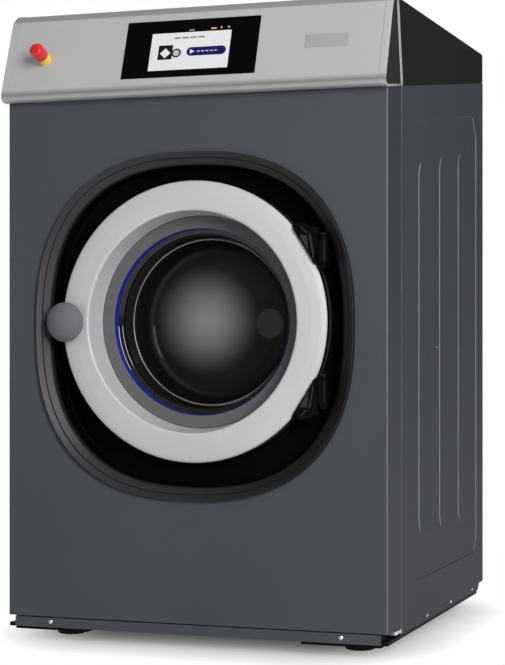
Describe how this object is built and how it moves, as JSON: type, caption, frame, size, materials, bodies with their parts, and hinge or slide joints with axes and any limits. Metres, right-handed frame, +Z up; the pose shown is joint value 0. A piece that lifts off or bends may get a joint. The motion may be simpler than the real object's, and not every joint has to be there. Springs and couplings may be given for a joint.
{
  "type": "commercial washing machine",
  "caption": "Front-loading commercial washer: sheet-metal cabinet, slanted control panel with screen and emergency stop, round swing door, suspended tub with belt-driven drum.",
  "frame": {"origin": "on the floor, under the middle of the machine's whole box", "axes": "X to the right seen from the front, Y from the front to the back, Z up"},
  "size_m": [0.716, 0.837, 1.134],
  "materials": {
    "grey_paint": "satin",
    "hood_black": "satin",
    "satin_silver": "satin",
    "door_silver": "satin",
    "black_plastic": "matte",
    "bezel_grey": "satin",
    "trim_grey": "satin",
    "accent_blue": "satin",
    "dark_glass": "polished",
    "screen_black": "polished",
    "display_white": "polished",
    "stop_red": "polished",
    "stop_yellow": "polished",
    "rubber": "matte",
    "steel": "brushed",
    "cast_metal": "cast",
    "weight_grey": "rough",
    "valve_white": "satin"
  },
  "bodies": {
    "cabinet": {"base_frame": "black_plastic", "front_panel": "grey_paint", "side_panel_left": "grey_paint", "side_panel_right": "grey_paint", "rear_panel": "grey_paint", "hood": "hood_black", "fascia": "satin_silver", "end_cap_left": "satin_silver", "end_cap_right": "satin_silver", "end_insert_left": "black_plastic", "end_insert_right": "black_plastic", "screen_glass": "screen_black", "display_module": "display_white", "estop_collar": "stop_yellow", "door_bezel": "bezel_grey", "door_recess": "black_plastic", "hinge_bracket": "black_plastic", "hinge_pin_upper": "steel", "hinge_pin_lower": "steel", "door_lock": "black_plastic", "door_gasket": "rubber", "hopper_box": "valve_white", "inlet_valve": "valve_white", "cable_gland": "black_plastic", "inverter": "cast_metal", "drain_valve": "black_plastic", "damper_tube_left": "steel", "damper_tube_right": "steel", "spring_front_left": "steel", "spring_front_right": "steel", "spring_rear_left": "steel", "spring_rear_right": "steel"},
    "door": {"door_ring": "door_silver", "door_trim_ring": "trim_grey", "door_accent_ring": "accent_blue", "door_glass": "dark_glass", "door_back_plate": "black_plastic", "hinge_arm_upper": "black_plastic", "hinge_arm_lower": "black_plastic"},
    "handle": {"door_handle": "bezel_grey"},
    "estop": {"estop_button": "stop_red"},
    "lid": {"hopper_lid": "hood_black"},
    "foot_front_left": {"foot_front_left": "black_plastic"},
    "foot_front_right": {"foot_front_right": "black_plastic"},
    "foot_rear_left": {"foot_rear_left": "black_plastic"},
    "foot_rear_right": {"foot_rear_right": "black_plastic"},
    "tub": {"tub_shell": "steel", "tub_front": "steel", "bearing_housing": "cast_metal", "bearing_cartridge": "steel", "tub_cradle": "cast_metal", "motor": "cast_metal", "drive_belt": "rubber", "counterweight": "weight_grey", "damper_rod_left": "steel", "damper_rod_right": "steel"},
    "drum": {"drum_shell": "steel", "drum_spider": "cast_metal", "drum_pulley": "cast_metal"},
    "rotor": {"motor_pulley": "steel"}
  },
  "joints": [
    {"name": "door_hinge", "type": "hinge", "parent": "cabinet", "child": "door", "pos_m": [0.243, -0.3775, 0.5735], "axis": [0, 0, 1], "range_deg": [0, 160]},
    {"name": "handle_turn", "type": "hinge", "parent": "door", "child": "handle", "pos_m": [-0.234, -0.3715, 0.5735], "axis": [0, 1, 0], "range_deg": [0, 45], "stiffness_Nm_per_rad": 0.5},
    {"name": "estop_push", "type": "slide", "parent": "cabinet", "child": "estop", "axis": [0, 0.94, -0.341], "range_m": [0, 0.005], "stiffness_N_per_m": 1500},
    {"name": "lid_hinge", "type": "hinge", "parent": "cabinet", "child": "lid", "pos_m": [-0.17, 0.2465, 1.1255], "axis": [-1, 0, 0], "range_deg": [0, 85]},
    {"name": "foot_front_left_screw", "type": "slide", "parent": "cabinet", "child": "foot_front_left", "axis": [0, 0, -1], "range_m": [0, 0.015]},
    {"name": "foot_front_right_screw", "type": "slide", "parent": "cabinet", "child": "foot_front_right", "axis": [0, 0, -1], "range_m": [0, 0.015]},
    {"name": "foot_rear_left_screw", "type": "slide", "parent": "cabinet", "child": "foot_rear_left", "axis": [0, 0, -1], "range_m": [0, 0.015]},
    {"name": "foot_rear_right_screw", "type": "slide", "parent": "cabinet", "child": "foot_rear_right", "axis": [0, 0, -1], "range_m": [0, 0.015]},
    {"name": "tub_float", "type": "slide", "parent": "cabinet", "child": "tub", "axis": [0, 0, 1], "range_m": [-0.012, 0.012], "stiffness_N_per_m": 60000, "springref_m": 0.01616, "deforming": ["spring_front_left", "spring_front_right", "spring_rear_left", "spring_rear_right", "door_gasket"]},
    {"name": "drum_spin", "type": "hinge", "parent": "tub", "child": "drum", "pos_m": [0, -0.3715, 0.5735], "axis": [0, 1, 0], "continuous": true},
    {"name": "motor_spin", "type": "hinge", "parent": "tub", "child": "rotor", "pos_m": [0, -0.3715, 0.165], "axis": [0, 1, 0], "continuous": true}
  ],
  "couplings": [
    {"joint": "motor_spin", "follows": "drum_spin", "ratio": 5}
  ]
}
